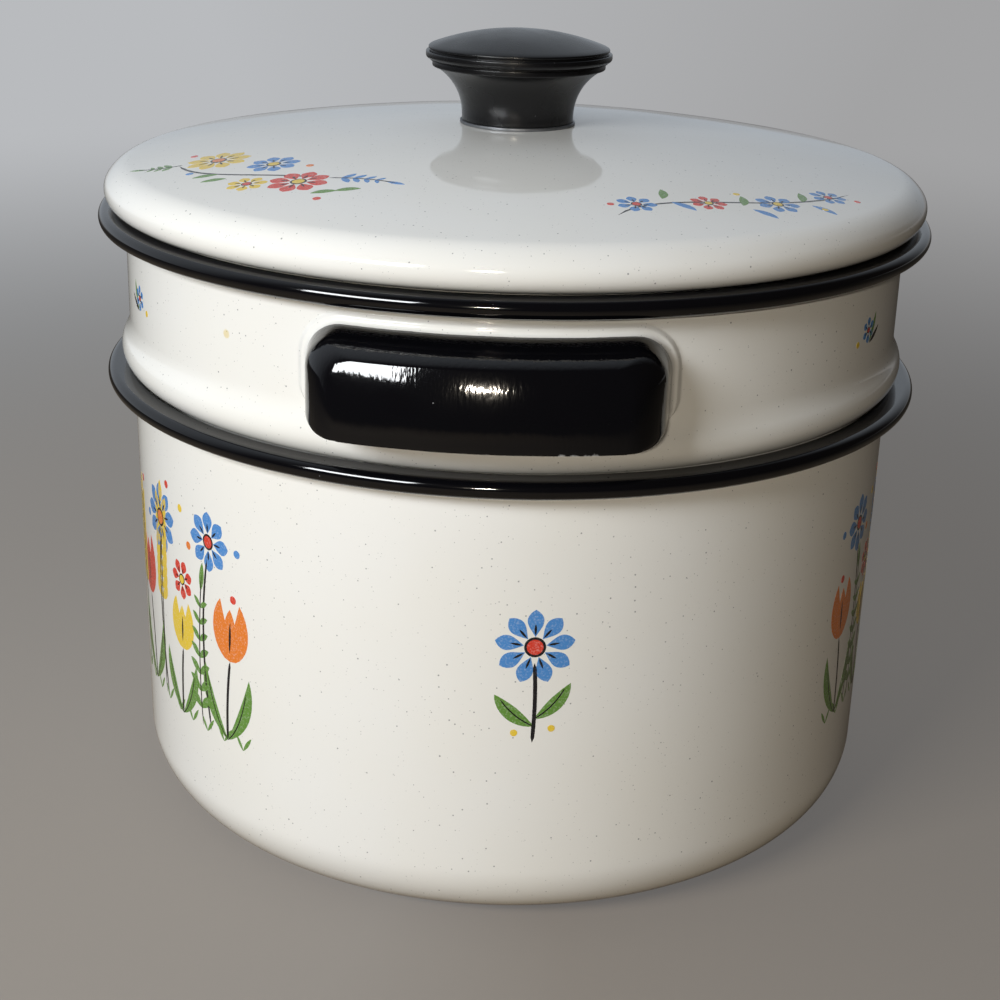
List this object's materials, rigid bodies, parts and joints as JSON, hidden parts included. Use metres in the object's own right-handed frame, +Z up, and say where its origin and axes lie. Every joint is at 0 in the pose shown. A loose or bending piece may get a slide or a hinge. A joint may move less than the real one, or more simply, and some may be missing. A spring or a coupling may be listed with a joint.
{
  "type": "double boiler",
  "caption": "Enamelled steel double boiler: a lower pot, an upper pot hung by its shoulder in the rolled rim, with pressed cup handles, and a domed lid with a waisted knob.",
  "frame": {"origin": "on the table under the middle of the lower pot's base", "axes": "+Z up along the common axis of the pots and the lid; the handles of the upper pot lie along -Y (front) and +Y (rear)"},
  "size_m": [0.225, 0.2466, 0.2125],
  "materials": {
    "white_enamel": "glossy off-white vitreous enamel with fine dark specks on pressed steel",
    "black_enamel": "very glossy black vitreous enamel on pressed steel",
    "black_phenolic": "satin-gloss black phenolic moulding",
    "grey_metal": "dull grey plated sheet",
    "plated_steel": "zinc-plated steel",
    "brass": "turned brass"
  },
  "bodies": {
    "lower_pot": {"lower_pot_shell": "white_enamel", "lower_pot_rim": "black_enamel"},
    "upper_pot": {"upper_pot_shell": "white_enamel", "upper_pot_rim": "black_enamel", "front_handle": "black_enamel", "rear_handle": "black_enamel"},
    "lid": {"lid_shell": "white_enamel", "knob_foot_disc": "grey_metal", "knob_body": "black_phenolic", "knob_cap": "black_phenolic", "knob_bush": "brass", "knob_screw": "plated_steel", "flat_washer": "plated_steel", "spring_washer": "plated_steel"}
  },
  "joints": [
    {"name": "upper_pot_lift", "type": "slide", "parent": "lower_pot", "child": "upper_pot", "axis": [0, 0, 1], "range_m": [0, 0.11]},
    {"name": "lid_lift", "type": "slide", "parent": "upper_pot", "child": "lid", "axis": [0, 0, 1], "range_m": [0, 0.08]}
  ]
}
